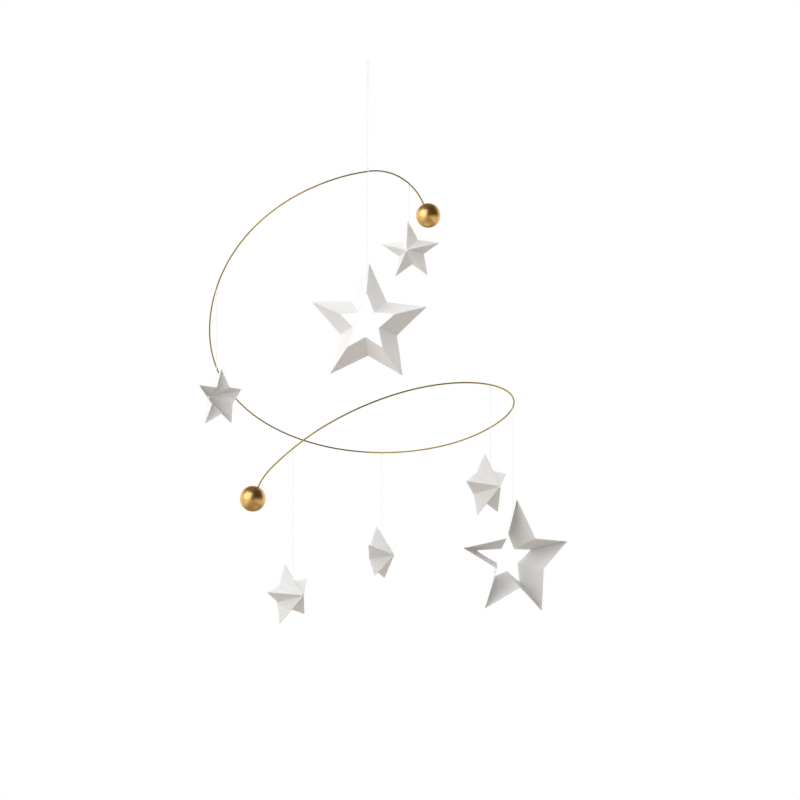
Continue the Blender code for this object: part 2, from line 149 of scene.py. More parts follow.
# Threads, as in the model
THREAD_DIAMETER = 0.0004
LOOP_KNOT_DIAMETER = 0.0010
STOP_KNOT_DIAMETER = 0.0016
THREAD_HOLE_DIAMETER = 0.0012
THREAD_HOLE_CUT = 0.0100
HANGER_THREAD_DIAMETER = 0.0005
HANGER_KNOT_DIAMETER = 0.0016
HANGER_LOOP_HEIGHT = 0.0250
HANGER_LOOP_WIDTH = 0.0030
HANGER_LOOP_TAPER = 0.75

# Threads, here alone: knots with their windings, and the small knot half-way down the hanger
JOINING_KNOT_HEIGHT = -0.0765
TIED_KNOT_EXTRA = 0.0003
CORD_POINTS = 16
CORD_ROUNDNESS = 4
THREAD_SIDES = 10
HOOK_LOOP_STEPS = 120
KNOT_STEPS = 90
KNOT_DEPTH = 1.25
WRAP_TURNS = 2
WRAP_STEPS_IN_TURN = 40
WRAP_SPACING = 1.15

# Short ends of thread at each star's loop: length, radius in thread diameters, how far they stray
# along the wire, how steeply they leave the knot, and how much they then droop
LEAST_END = 0.0018
MOST_END = 0.0030
END_STEPS = 8
END_SIDES = 8
END_RADIUS = 0.38
END_STRAYING = 0.4
END_STEEPNESS = 0.5
END_DROOP = 0.35

# Starts of the random draws
STAR_THREAD_SEEDS = {name: 100 + 7 * place for place, name in enumerate(STARS)}
STAR_CARD_SEEDS = {name: 300 + 11 * place for place, name in enumerate(STARS)}
STOP_KNOT_SEED_STEP = 9
ENDS_SEED_STEP = 50
HOOK_KNOT_SEED = 3
JOINING_KNOT_SEED = 4
WIRE_KNOT_SEED = 5
HANGER_WRAP_SEED = 21
HAND_WAVE_SEED = 7

# Meshes
SHARP_ANGLE = math.radians(50.0)
CARD_SHARP_ANGLE = math.radians(60.0)
THREAD_HOLE_SIDES = 20
TUBE_FRAME_START = Vector((0.31, 0.93, 0.2))

# Floor. The camera sees it in its own colour. What it throws back onto the mobile and what metal
# mirrors in it are a painted darker tone, paler where it throws light back from behind and where metal
# mirrors it beside the mobile
FLOOR_HEIGHT = -1.40
FLOOR_RADIUS = 30.0
FLOOR_SEGMENTS = 96
FLOOR_ROUGHNESS = 0.9
FLOOR_COLOUR = (0.80, 0.79, 0.775, 1.0)
# Painted shade and painted reflection: tones that only bounced light and metal reflections see, darker
# than the floor's own colour
FLOOR_PAINTED_PALE = (0.70, 0.67, 0.635, 1.0)
FLOOR_PAINTED_DARK = (0.28, 0.235, 0.18, 1.0)
FLOOR_PAINTED_PALE_BEHIND = (-1.6, 0.8)
FLOOR_PAINTED_PALE_ASIDE = (0.7, 1.6)
FLOOR_FADE = (1.6, 5.0)
FLOOR_MIRRORED_BEHIND = (0.0, 3.0)

# World: white behind and beside, a dark room in front, and a dark ceiling in what metal mirrors
WHITE = (1.0, 1.0, 1.0, 1.0)
ROOM_BROWN = (0.045, 0.014, 0.003, 1.0)
ROOM_DARK = 0.03
ROOM_LIGHT = 1.45
ROOM_LIT_BEHIND = (-0.8, 0.3)
ROOM_PALE_BEHIND = (-0.3, 0.2)
CEILING_RISE = (0.25, 0.75)
CEILING_SHARE = 0.10
LEFT_COUNTED_BEHIND = -0.4

# Each lamp: place, size, power, colour, and whether metal mirrors it
MOBILE_MIDDLE = Vector((0.0, 0.0, -0.32))
LAMPS = {
    "key_lamp": (Vector((-2.0, -1.9, 0.9)), 3.3, 60.0, (1.0, 1.0, 1.0), True),
    "fill_lamp": (Vector((1.6, -2.4, 0.6)), 2.0, 14.0, (1.0, 1.0, 1.0), False),
    "front_lamp": (Vector((-0.6, -3.0, 0.1)), 1.6, 17.0, (0.94, 0.975, 1.0), False),
}


def square_to(vector, axis):
    """The part of a vector that is square to an axis, as a unit vector."""
    return (vector - axis * vector.dot(axis)).normalized()


def joint_place(name):
    """Where a joint is, at rest."""
    return Vector(JOINTS[name]["pos_m"])


def joint_axis(name):
    """Unit vector along a joint's axis."""
    return Vector(JOINTS[name]["axis"]).normalized()


def new_object(name, data):
    """Object with its data, put into the scene."""
    made = bpy.data.objects.new(name, data)
    bpy.context.scene.collection.objects.link(made)
    return made


def finish_mesh(name, solid, smooth=True, sharp_angle=SHARP_ANGLE):
    """Object with a finished mesh, smooth but for its sharp edges, or else flat."""
    mesh = bpy.data.meshes.new(name)
    solid.to_mesh(mesh)
    solid.free()
    if smooth:
        mesh.shade_smooth()
        mesh.set_sharp_from_angle(angle=sharp_angle)
    return new_object(name, mesh)


def tube_mesh(name, points, radii, sides, closed=False):
    """Tube mesh along points with a radius at each. Its frame turns as little as it can."""
    count = len(points)
    tangents = []
    for k in range(count):
        if closed:
            tangents.append((points[(k + 1) % count] - points[k - 1]).normalized())
        else:
            tangents.append((points[min(k + 1, count - 1)] - points[max(k - 1, 0)]).normalized())
    normal = square_to(TUBE_FRAME_START, tangents[0])
    solid = bmesh.new()
    rings = []
    for point, tangent, radius in zip(points, tangents, radii):
        normal = square_to(normal, tangent)
        second = tangent.cross(normal)
        rings.append([solid.verts.new(point + radius * (math.cos(TURN * k / sides) * normal
                                                        + math.sin(TURN * k / sides) * second))
                      for k in range(sides)])
    pairs = list(zip(rings, rings[1:]))
    if closed:
        first, last = rings[0], rings[-1]
        shift = min(range(sides), key=lambda s: (last[0].co - first[s].co).length)
        pairs.append((last, first[shift:] + first[:shift]))
    for ring, after in pairs:
        for k in range(sides):
            n = (k + 1) % sides
            solid.faces.new((ring[k], ring[n], after[n], after[k]))
    if not closed:
        solid.faces.new(rings[0][::-1])
        solid.faces.new(rings[-1])
    bmesh.ops.recalc_face_normals(solid, faces=solid.faces)
    return finish_mesh(name, solid)


def add_camera():
    """The photograph's camera."""
    data = bpy.data.cameras.new("photo_camera")
    data.sensor_width = SENSOR_WIDTH_MM
    data.lens = SENSOR_WIDTH_MM * PHOTO_FOCAL_PIXELS / PHOTO_WIDTH_PIXELS
    data.clip_end = CAMERA_REACH
    camera = new_object("photo_camera", data)
    camera.location = CAMERA_PLACE
    camera.rotation_euler = (math.pi / 2, 0.0, 0.0)
    bpy.context.scene.camera = camera


# Materials

class NodeTree:
    """Short ways to add and link the nodes of a material or a world."""

    def __init__(self, owner):
        owner.use_nodes = True
        self.nodes = owner.node_tree.nodes
        self.links = owner.node_tree.links

    def feed(self, node, inputs):
        """Link a node's inputs to other nodes' outputs, or set them."""
        for name, value in inputs.items():
            if isinstance(value, bpy.types.NodeSocket):
                self.links.new(value, node.inputs[name])
            else:
                node.inputs[name].default_value = value

    def add(self, kind, inputs=None, **settings):
        """New node, with its settings and inputs."""
        node = self.nodes.new(kind)
        for name, value in settings.items():
            setattr(node, name, value)
        self.feed(node, inputs or {})
        return node

    def object_place(self):
        return self.add("ShaderNodeTexCoord").outputs["Object"]

    def noise(self, place, scale, detail, roughness=0.55):
        """Noise from 0 to 1."""
        return self.add("ShaderNodeTexNoise", {"Vector": place, "Scale": scale, "Detail": detail,
                                               "Roughness": roughness}).outputs["Fac"]

    def ramp(self, factor, *stops):
        """Colour that goes through stops, each a place from 0 to 1 and its colour."""
        node = self.add("ShaderNodeValToRGB", {"Fac": factor})
        elements = node.color_ramp.elements
        elements[0].position, elements[0].color = stops[0]
        elements[1].position, elements[1].color = stops[-1]
        for position, colour in stops[1:-1]:
            elements.new(position).color = colour
        return node.outputs["Color"]

    def bump(self, height, strength, distance, before=None):
        """Normal that follows a height, on top of another bump where one is given."""
        inputs = {"Height": height, "Strength": strength, "Distance": distance}
        if before is not None:
            inputs["Normal"] = before
        return self.add("ShaderNodeBump", inputs).outputs["Normal"]

    def calculate(self, operation, *values):
        """Result of an operation on one, two or three values."""
        inputs = dict(enumerate(values))
        return self.add("ShaderNodeMath", inputs, operation=operation).outputs["Value"]

    def larger(self, first, second):
        return self.calculate("MAXIMUM", first, second)

    def product(self, first, second):
        return self.calculate("MULTIPLY", first, second)

    def step(self, value, between, low=0.0, high=1.0):
        """Smooth step from low to high as a value goes from the first to the second in between."""
        return self.add("ShaderNodeMapRange", {"Value": value, "From Min": between[0],
                                               "From Max": between[1], "To Min": low, "To Max": high},
                        interpolation_type="SMOOTHSTEP").outputs["Result"]

    def sides(self, place):
        """The X, Y and Z of a place or direction."""
        return self.add("ShaderNodeSeparateXYZ", {0: place}).outputs

    def lean(self, sides):
        """How far behind a place or direction is, with the left counted as a little behind."""
        return self.calculate("MULTIPLY_ADD", sides["X"], LEFT_COUNTED_BEHIND, sides["Y"])

    def blend(self, share, first, second):
        """Colour between two others."""
        return self.add("ShaderNodeMixRGB", {"Fac": share, "Color1": first,
                                             "Color2": second}).outputs["Color"]

    def mix(self, share, first, second):
        """Shader between two others."""
        return self.add("ShaderNodeMixShader", {0: share, 1: first, 2: second}).outputs["Shader"]

    def let_through(self, shader, share, colour):
        """Let a share of the light through a thin or loose material."""
        through = self.add("ShaderNodeBsdfTranslucent", {"Color": colour})
        self.feed(self.nodes["Material Output"],
                  {"Surface": self.mix(share, shader.outputs["BSDF"], through.outputs["BSDF"])})


def grey(value):
    return value, value, value, 1.0


def new_material(name):
    """Material, its nodes and its Principled shader."""
    material = bpy.data.materials.new(name)
    tree = NodeTree(material)
    return material, tree, tree.nodes["Principled BSDF"]


def card_material():
    """Matt white card: faint mottling, paper fibres in the surface, and a little light through it."""
    material, tree, shader = new_material("white_card")
    place = tree.object_place()
    clouds = tree.noise(place, scale=70.0, detail=4.0)
    fibres = tree.noise(place, scale=2600.0, detail=6.0, roughness=0.7)
    waves = tree.noise(place, scale=60.0, detail=2.0)
    soft = tree.bump(waves, strength=0.35, distance=0.0012)
    tree.feed(shader, {
        "Base Color": tree.ramp(clouds, (0.25, (0.858, 0.858, 0.855, 1.0)),
                                (0.75, (0.886, 0.887, 0.886, 1.0))),
        "Roughness": tree.ramp(fibres, (0.3, grey(0.66)), (0.7, grey(0.86))),
        "Normal": tree.bump(fibres, strength=0.12, distance=0.00006, before=soft),
        "Specular IOR Level": 0.35})
    tree.let_through(shader, share=0.12, colour=(0.86, 0.78, 0.70, 1.0))
    return material


def brass_material():
    """Brass wire: a fine grain, and darker tarnish in patches."""
    material, tree, shader = new_material("brass_wire")
    place = tree.object_place()
    patches = tree.noise(place, scale=45.0, detail=5.0, roughness=0.6)
    grain = tree.noise(place, scale=900.0, detail=4.0, roughness=0.6)
    tree.feed(shader, {
        "Base Color": tree.ramp(patches, (0.30, (0.34, 0.235, 0.020, 1.0)),
                                (0.52, (0.46, 0.330, 0.035, 1.0)), (0.78, (0.62, 0.460, 0.080, 1.0))),
        "Roughness": tree.ramp(grain, (0.3, grey(0.20)), (0.7, grey(0.34))),
        "Normal": tree.bump(grain, strength=0.25, distance=0.00006),
        "Metallic": 1.0,
        "Specular Tint": (0.80, 0.62, 0.16, 1.0)})
    return material


def gold_material():
    """Gilded ball: gold leaf on a faintly uneven ground, with small rubs, under clear lacquer."""
    material, tree, shader = new_material("gilded_ball")
    place = tree.object_place()
    patches = tree.noise(place, scale=160.0, detail=5.0, roughness=0.6)
    rubs = tree.noise(place, scale=700.0, detail=5.0, roughness=0.65)
    ground = tree.bump(patches, strength=0.05, distance=0.0002)
    tree.feed(shader, {
        "Base Color": tree.ramp(patches, (0.28, (0.77, 0.47, 0.14, 1.0)),
                                (0.72, (0.88, 0.59, 0.22, 1.0))),
        "Roughness": tree.ramp(rubs, (0.35, grey(0.32)), (0.75, grey(0.39))),
        "Normal": tree.bump(rubs, strength=0.06, distance=0.00002, before=ground),
        "Metallic": 1.0,
        "Coat Weight": 0.6,
        "Coat Roughness": 0.22})
    return material


def thread_material():
    """White cotton thread with its twist as fine slanting ribs."""
    material, tree, shader = new_material("white_thread")
    twist = tree.add("ShaderNodeTexWave", {"Vector": tree.object_place(), "Scale": 900.0,
                                           "Distortion": 1.5, "Detail": 2.0},
                     wave_type="BANDS", bands_direction="DIAGONAL").outputs["Fac"]
    tree.feed(shader, {
        "Base Color": tree.ramp(twist, (0.2, (0.90, 0.90, 0.89, 1.0)), (0.8, (0.96, 0.96, 0.95, 1.0))),
        "Roughness": 0.8,
        "Normal": tree.bump(twist, strength=0.6, distance=0.00005)})
    tree.let_through(shader, share=0.45, colour=(0.97, 0.97, 0.96, 1.0))
    return material


def dress(piece, material, body):
    """Give a piece its material and slot, and let it ride on its body."""
    piece.data.materials.append(material)
    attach(piece, body)


# The stars' shape, as in the model

class FoldedStar:
    """Folded card star in its own frame: X to the right, -Y the way it faces, Z up its top arm."""

    def __init__(self, name):
        self.blank, fold, facing, hole_below_tip, hole_aside, bent_arms = STARS[name]
        ridge, valley, window_ridge, window_valley = BLANKS[self.blank]
        self.facing = math.radians(facing)
        self.fold = math.radians(fold)
        self.valley_fold = self.matching_valley_fold()
        self.peak = ridge * math.sin(self.fold)
        self.tips = [self.on_ridge(ridge, k) for k in range(ARMS)]
        self.notches = [self.on_valley(valley, k) for k in range(ARMS)]
        self.window_tips = [self.on_ridge(window_ridge, k) for k in range(ARMS)]
        self.window_notches = [self.on_valley(window_valley, k) for k in range(ARMS)]
        for arm, (swing, sway) in bent_arms.items():
            bent = [self.tips, self.window_tips] if self.blank == "large" else [self.tips]
            self.bend_arm(bent, arm, math.radians(swing), math.radians(sway))
        self.apex = Vector((0.0, -self.peak, 0.0))
        self.through = Vector((0.0, CARD_THICKNESS / -self.facet_normal(0, False).y, 0.0))
        self.hole = self.hole_place(hole_below_tip, hole_aside)
        self.hang = (self.hole - self.centre_of_mass()).rotation_difference(UP).to_matrix()

    def matching_valley_fold(self):
        """Slope of the valleys that folds a flat card with no stretch, for this ridge slope."""
        rise = math.sin(self.fold)
        reach = math.cos(HALF_ARM) * math.cos(self.fold)
        return math.atan2(rise, reach) + math.acos(math.cos(HALF_ARM) / math.hypot(reach, rise))

    def on_fold(self, distance, slope, angle):
        """Point of a fold line, at a distance from the apex."""
        run = distance * math.cos(slope)
        return Vector((run * math.sin(angle), distance * math.sin(slope) - self.peak,
                       run * math.cos(angle)))

    def on_ridge(self, distance, arm):
        return self.on_fold(distance, self.fold, 2 * HALF_ARM * arm)

    def on_valley(self, distance, arm):
        return self.on_fold(distance, self.valley_fold, 2 * HALF_ARM * arm + HALF_ARM)

    def bend_arm(self, ridge_points, arm, swing, sway):
        """Turn an arm about the line between its notches, then in the star's own plane."""
        root_start, root_end = self.notches[arm - 1], self.notches[arm]
        root = (root_start + root_end) / 2
        turn = (Matrix.Rotation(sway, 3, "Y")
                @ Matrix.Rotation(swing, 3, (root_end - root_start).normalized()))
        for points in ridge_points:
            points[arm] = root + turn @ (points[arm] - root)

    def facet_normal(self, arm, before):
        """Outward normal of one of the two facets beside a ridge."""
        ridge = self.tips[arm] - self.apex
        valley = self.notches[arm - 1 if before else arm] - self.apex
        normal = ridge.cross(valley).normalized()
        return normal if normal.y < 0 else -normal

    def bent_normal(self, arm, before):
        """Outward mean normal of a facet beside a ridge, with its arm bent."""
        notch = arm - 1 if before else arm
        normal = (self.notches[notch] - self.window_tips[arm]).cross(
            self.tips[arm] - self.window_notches[notch]).normalized()
        return normal if normal.y < 0 else -normal

    def hole_place(self, below_tip, aside):
        """Point of the outer face where the thread goes in."""
        along = (self.apex - self.tips[0]).normalized()
        neighbour = self.notches[0] if aside >= 0 else self.notches[-1]
        across = square_to(neighbour - self.tips[0], along)
        return self.tips[0] + along * below_tip + across * abs(aside)

    def centre_of_mass(self):
        """Centre of mass of the ten facets, with the window taken out."""
        total = Vector((0.0, 0.0, 0.0))
        area = 0.0
        for arm in range(ARMS):
            for notch in (arm, arm - 1):
                for outer, inner, sign in ((self.tips[arm], self.notches[notch], 1.0),
                                           (self.window_tips[arm], self.window_notches[notch], -1.0)):
                    part = sign * (outer - self.apex).cross(inner - self.apex).length / 2
                    total += part * (outer + inner + self.apex) / 3
                    area += part
        return total / area + self.through / 2

    def stop_knot_drop(self):
        """How far below the hole the middle of the stop knot hangs, clear of both facets."""
        reach = STOP_KNOT_DIAMETER / 2 + SEAT_GAP
        drops = []
        for before in (False, True):
            normal = self.hang @ self.facet_normal(0, before)
            to_inner_face = self.hang @ (self.apex + self.through - self.hole)
            drops.append((reach - to_inner_face.dot(normal)) / normal.z)
        return max(drops)


# Threads

def straight_cord(name, top, length, diameter):
    """Thread that hangs straight, as a curve of one open spline."""
    curve = bpy.data.curves.new(name, "CURVE")
    curve.dimensions = "3D"
    curve.bevel_depth = diameter / 2
    curve.bevel_resolution = CORD_ROUNDNESS
    curve.use_fill_caps = True
    spline = curve.splines.new("POLY")
    spline.points.add(CORD_POINTS - 1)
    for k, point in enumerate(spline.points):
        point.co = (*(top + DOWN * (length * k / (CORD_POINTS - 1))), 1.0)
    return new_object(name, curve)


def overhand_knot(name, centre, size, thread, seed):
    """Tight knot: a thread laid in a three-lobed knot, drawn up round its own middle."""
    turned = random.Random(seed).uniform(0.0, TURN)
    points = []
    for k in range(KNOT_STEPS):
        a = TURN * k / KNOT_STEPS
        lobe = Vector((math.sin(a) + 2.0 * math.sin(2.0 * a),
                       math.cos(a) - 2.0 * math.cos(2.0 * a), -KNOT_DEPTH * math.sin(3.0 * a)))
        lobe *= (size / 2 - thread / 2) / 3.0
        points.append(centre + Matrix.Rotation(turned, 3, "Z") @ lobe)
    return tube_mesh(name, points, [thread / 2] * KNOT_STEPS, THREAD_SIDES, closed=True)


def wire_wrap(name, centre, tangent, knot_way, knot_size, seed):
    """Thread wound round the wire and drawn into a knot, with the knot's centre."""
    side = tangent.cross(knot_way)
    radius = WIRE_DIAMETER / 2 + THREAD_DIAMETER / 2
    steps = WRAP_STEPS_IN_TURN * WRAP_TURNS
    points = []
    for k in range(steps + 1):
        a = TURN * WRAP_TURNS * k / steps
        along = (k / steps - 0.5) * THREAD_DIAMETER * WRAP_SPACING * WRAP_TURNS
        points.append(centre + radius * (math.cos(a) * knot_way + math.sin(a) * side)
                      + tangent * along)
    wrap = tube_mesh(name + "_wrap", points, [THREAD_DIAMETER / 2] * len(points), THREAD_SIDES)
    knot_centre = centre + knot_way * (WIRE_DIAMETER / 2 + THREAD_DIAMETER + knot_size / 2
                                       - THREAD_DIAMETER / 2)
    knot = overhand_knot(name + "_knot", knot_centre, knot_size, THREAD_DIAMETER, seed)
    return [wrap, knot], knot_centre


def thread_ends(name, knot_centre, tangent, knot_way, seed):
    """The two short ends of a knotted thread, one on either side of the wire."""
    side = tangent.cross(knot_way)
    chance = random.Random(seed)
    ends = []
    for number, way in ((1, 1.0), (2, -1.0)):
        length = chance.uniform(LEAST_END, MOST_END)
        straying = chance.uniform(-END_STRAYING, END_STRAYING)
        out = (side * way + tangent * straying + DOWN * END_STEEPNESS).normalized()
        tail = [knot_centre + out * (length * s / END_STEPS)
                + DOWN * (END_DROOP * length * (s / END_STEPS) ** 2) for s in range(END_STEPS + 1)]
        ends.append(tube_mesh(f"{name}_end_{number}", tail, [THREAD_DIAMETER * END_RADIUS] * len(tail),
                              END_SIDES))
    return ends


def star_threads(name, seed):
    """A star's thread: wound round the wire, straight down, and knotted inside the star."""
    centre = joint_place(name + "_swing_across")
    tangent = joint_axis(name + "_swing_across")
    knot = joint_place(name + "_swing_along")
    hole = joint_place(name + "_turn")
    below = (knot - centre).normalized()
    loop = name + "_loop"
    loop_thread = loop + "_thread"
    pieces, knot_centre = wire_wrap(loop_thread, centre, tangent, below,
                                    LOOP_KNOT_DIAMETER + TIED_KNOT_EXTRA, seed)
    pieces += thread_ends(loop_thread, knot_centre, tangent, below, seed + ENDS_SEED_STEP)
    for piece in pieces:
        dress(piece, THREAD, loop)
        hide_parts(loop)
    top = knot + DOWN * (LOOP_KNOT_DIAMETER / 2)
    drop = FoldedStar(name).stop_knot_drop()
    length = top.z - hole.z + drop
    cord = straight_cord(name + "_cord", top, length, THREAD_DIAMETER)
    dress(cord, THREAD, name + "_thread")
    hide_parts(name + "_thread")
    stop = overhand_knot(name + "_stop_knot", hole + DOWN * drop, STOP_KNOT_DIAMETER,
                         THREAD_DIAMETER, seed + STOP_KNOT_SEED_STEP)
    dress(stop, THREAD, name + "_thread")


def hook_loop_point(angle):
    """Middle of the thread of the hanger's loop, at an angle that goes once round it."""
    radius = HANGER_THREAD_DIAMETER / 2
    height = HANGER_LOOP_HEIGHT - HANGER_KNOT_DIAMETER / 2 - SEAT_GAP
    half_width = (HANGER_LOOP_WIDTH - HANGER_THREAD_DIAMETER) / 2
    narrowing = 1.0 - HANGER_LOOP_TAPER * (1.0 - math.cos(angle)) / 2
    rise = (1.0 + math.cos(angle)) / 2
    return Vector((half_width * math.sin(angle) * narrowing, 0.0, radius - height * (1.0 - rise)))


def hanger_threads():
    """Hook loop, its knot, the long thread with its small knot, and the wrap round the wire."""
    line = [hook_loop_point(TURN * k / HOOK_LOOP_STEPS) for k in range(HOOK_LOOP_STEPS)]
    loop = tube_mesh("hook_loop_thread", line, [HANGER_THREAD_DIAMETER / 2] * HOOK_LOOP_STEPS,
                     THREAD_SIDES, closed=True)
    dress(loop, THREAD, "hanger_loop")
    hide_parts("hanger_loop")
    top = joint_place("hanger_swing_sideways")
    low = joint_place("wire_see_saw")
    top_knot = overhand_knot("hook_loop_knot", top, HANGER_KNOT_DIAMETER, HANGER_THREAD_DIAMETER,
                             HOOK_KNOT_SEED)
    dress(top_knot, THREAD, "hanger_knot")
    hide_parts("hanger_knot")
    start = top + DOWN * (HANGER_KNOT_DIAMETER / 2)
    length = start.z - low.z - HANGER_KNOT_DIAMETER / 2
    cord = straight_cord("hanger_cord", start, length, HANGER_THREAD_DIAMETER)
    dress(cord, THREAD, "hanger_thread")
    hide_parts("hanger_thread")
    joining_knot = overhand_knot("hanger_cord_knot", Vector((top.x, top.y, JOINING_KNOT_HEIGHT)),
                                 LOOP_KNOT_DIAMETER, THREAD_DIAMETER / 2, JOINING_KNOT_SEED)
    dress(joining_knot, THREAD, "hanger_thread")
    low_knot = overhand_knot("wire_loop_knot", low, HANGER_KNOT_DIAMETER, HANGER_THREAD_DIAMETER,
                             WIRE_KNOT_SEED)
    dress(low_knot, THREAD, "wire_knot")
    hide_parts("wire_knot")
    tangent = joint_axis("wire_roll")
    pieces, _ = wire_wrap("hanger_wrap", joint_place("wire_roll"), tangent, square_to(UP, tangent),
                          LOOP_KNOT_DIAMETER, HANGER_WRAP_SEED)
    for piece in pieces:
        dress(piece, THREAD, "wire_loop")
        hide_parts("wire_loop")


# Wire and balls

def curl_axis():
    """Unit vector along the curl's axis, downwards and towards the viewer."""
    return Vector((math.sin(AXIS_LEAN_SIDE),
                   -math.sin(AXIS_LEAN_BACK) * math.cos(AXIS_LEAN_SIDE),
                   -math.cos(AXIS_LEAN_BACK) * math.cos(AXIS_LEAN_SIDE)))


def raw_curl(angle):
    """Point of the curl at an angle round its axis, counted from the curl's own centre."""
    axis = curl_axis()
    across = square_to(RIGHT, axis)
    over = axis.cross(across)
    turns = (angle - CURL_MIDDLE_ANGLE) / TURN
    radius = (CURL_RADIUS + CURL_WIDENING * turns
              + CURL_OVAL * math.cos(2.0 * (angle - CURL_OVAL_ANGLE))
              + CURL_WAVE * math.cos(3.0 * (angle - CURL_WAVE_ANGLE)))
    advance = CURL_PITCH * angle / TURN + CURL_STRETCH * turns ** 2
    return radius * (math.cos(angle) * across + math.sin(angle) * over) + advance * axis


def curl_direction(angle):
    """Unit tangent of the curl, towards the lower ball."""
    return (raw_curl(angle + SMALL_ANGLE) - raw_curl(angle - SMALL_ANGLE)).normalized()


def bent_tail(start, direction, length, bend, steps):
    """Points of a tail that bends evenly from a direction towards straight down."""
    inwards = square_to(DOWN, direction)
    points = []
    point = start.copy()
    for step in range(steps):
        angle = bend * (step + 0.5) / steps
        point = point + (math.cos(angle) * direction + math.sin(angle) * inwards) * (length / steps)
        points.append(point.copy())
    return points, (math.cos(bend) * direction + math.sin(bend) * inwards).normalized()


def wire_line():
    """Points of the wire from the upper ball to the lower ball, with the way each end points."""
    shift = joint_place("wire_roll") - raw_curl(HANGER_ANGLE)
    curl = [raw_curl(CURL_START + (CURL_END - CURL_START) * step / CURL_STEPS) + shift
            for step in range(CURL_STEPS + 1)]
    upper, upper_end = bent_tail(curl[0], -curl_direction(CURL_START), UPPER_TAIL_LENGTH,
                                 UPPER_TAIL_BEND, UPPER_TAIL_STEPS)
    lower, lower_end = bent_tail(curl[-1], curl_direction(CURL_END), LOWER_TAIL_LENGTH,
                                 LOWER_TAIL_BEND, LOWER_TAIL_STEPS)
    return upper[::-1] + curl + lower, upper_end, lower_end


def bent_wire(points, upper_end, lower_end):
    """Smooth round wire with the slight waves of bending by hand, and straight ends in the balls."""
    # Vector noise starts from the clock unless it is given a seed, so each run would bend another wire
    noise.seed_set(HAND_WAVE_SEED)
    line = [points[0] + upper_end * WIRE_DEPTH_IN_BALL]
    for index, point in enumerate(points):
        sway = noise.noise_vector(point * HAND_WAVES_PER_METRE) * HAND_WAVE
        fade = min(1.0, index / HAND_WAVE_FADE_POINTS,
                   (len(points) - 1 - index) / HAND_WAVE_FADE_POINTS)
        line.append(point + sway * fade)
    line.append(points[-1] + lower_end * WIRE_DEPTH_IN_BALL)
    radii = []
    for point in line:
        unevenness = DRAWING_UNEVENNESS * noise.noise(point * DRAWING_WAVES_PER_METRE)
        radii.append(WIRE_DIAMETER / 2 * (1.0 + unevenness))
    wire = tube_mesh("bent_brass_wire", line, radii, WIRE_SIDES)
    dress(wire, BRASS, "wire")
    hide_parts("wire")


def ball_profile(radius, bore):
    """Radius and height of each ring of a ball: bore, softened mouth and outside, from below."""
    mouth = math.asin((bore + MOUTH_ROUNDING) / radius)
    mouth_height = -radius * math.cos(mouth)
    floor_height = -math.sqrt(radius ** 2 - bore ** 2) + WIRE_DEPTH_IN_BALL + SEAT_GAP
    profile = [(bore * share, floor_height) for share in (0.0, 0.5, 1.0)]
    profile.append((bore, (floor_height + mouth_height) / 2))
    for step in range(MOUTH_STEPS + 1):
        a = math.pi / 2 * step / MOUTH_STEPS
        profile.append((bore + MOUTH_ROUNDING * (1.0 - math.cos(a)),
                        mouth_height + MOUTH_ROUNDING * (1.0 - math.sin(a))))
    for ring in range(1, BALL_RINGS):
        a = mouth + (math.pi - mouth) * ring / BALL_RINGS
        profile.append((radius * math.sin(a), -radius * math.cos(a)))
    profile.append((0.0, radius))
    return profile


def gilded_ball(name, node, wire_end, direction):
    """Turned ball with a softened bore for the wire and a faintly uneven gilded ground."""
    radius = BALL_DIAMETER / 2
    bore = WIRE_DIAMETER / 2 + SEAT_GAP
    profile = ball_profile(radius, bore)
    solid = bmesh.new()
    rings = []
    for ring_radius, height in profile[1:-1]:
        ring = []
        for k in range(BALL_SEGMENTS):
            a = TURN * k / BALL_SEGMENTS
            point = Vector((ring_radius * math.cos(a), ring_radius * math.sin(a), height))
            uneven = GROUND_UNEVENNESS * noise.noise(point * GROUND_WAVES_PER_METRE
                                                     + wire_end * GROUND_SHIFT)
            ring.append(solid.verts.new(point * (1.0 + uneven / radius)))
        rings.append(ring)
    first = solid.verts.new((0.0, 0.0, profile[0][1]))
    last = solid.verts.new((0.0, 0.0, profile[-1][1]))
    for k in range(BALL_SEGMENTS):
        n = (k + 1) % BALL_SEGMENTS
        solid.faces.new((first, rings[0][k], rings[0][n]))
        for low, high in zip(rings, rings[1:]):
            solid.faces.new((low[k], high[k], high[n], low[n]))
        solid.faces.new((last, rings[-1][n], rings[-1][k]))
    bmesh.ops.recalc_face_normals(solid, faces=solid.faces)
    centre = wire_end + direction * math.sqrt(radius ** 2 - bore ** 2)
    solid.transform(Matrix.Translation(centre)
                    @ UP.rotation_difference(direction).to_matrix().to_4x4())
    ball = finish_mesh(name, solid)
    dress(ball, GOLD, "wire")
    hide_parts(node)


# Stars

def across_facet(width, soft, columns):
    """Places across a facet, from ridge to valley, close together beside the two folds."""
    beside = [soft * share for share in FOLD_SHARES]
    middle = [soft + (width - 2 * soft) * k / columns for k in range(1, columns)]
    return beside + middle + [width - place for place in reversed(beside)]


def soft_fold(place, soft, slope):
    """How far a rounded fold lies inside the sharp one, at a place beside it."""
    if place >= soft:
        return 0.0
    return slope * (soft - place) ** 2 / (2.0 * soft)


def fold_way(normal, other):
    """The way a fold faces, and the slope of its facets away from that."""
    out = (normal + other).normalized()
    return out, math.tan(math.acos(min(1.0, normal.dot(out))))


